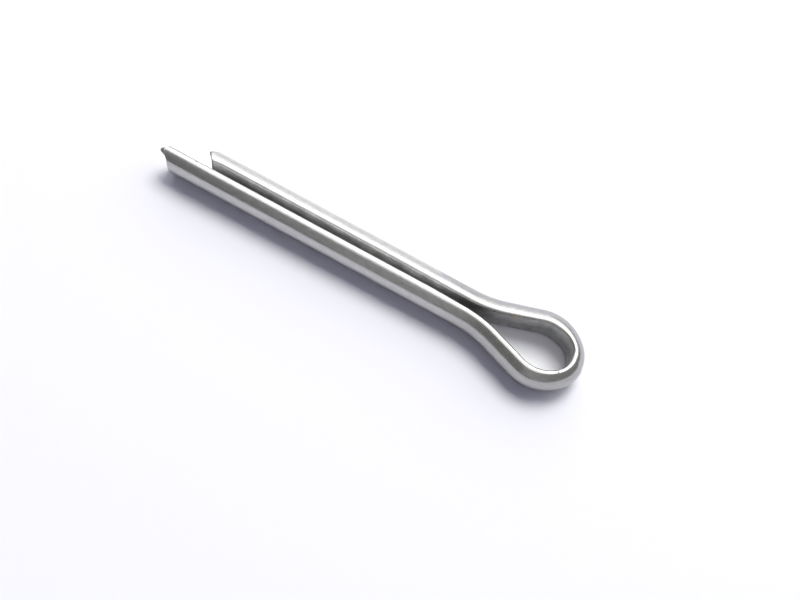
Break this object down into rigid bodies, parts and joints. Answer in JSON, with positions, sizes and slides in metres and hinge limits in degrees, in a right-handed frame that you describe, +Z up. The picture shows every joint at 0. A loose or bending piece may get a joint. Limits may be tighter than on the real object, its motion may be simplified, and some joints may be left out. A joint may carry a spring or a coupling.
{
  "type": "cotter pin",
  "caption": "Cotter pin folded from half-round steel wire: a teardrop eye, and flat-faced legs of unequal length that make a split round shank to spread behind a drilled hole.",
  "frame": {"origin": "under the middle of the bounding box, on the surface that the pin lies on", "axes": "+X runs along the shank towards the eye, so the leg tips point to -X; +Y runs across the eye towards the short leg; +Z is up, square to the plane of the eye"},
  "size_m": [0.043, 0.0074, 0.0035],
  "materials": {
    "steel": "bright drawn steel wire, plain, with fine marks along its length"
  },
  "bodies": {
    "root": {"pin": "steel"}
  },
  "joints": []
}
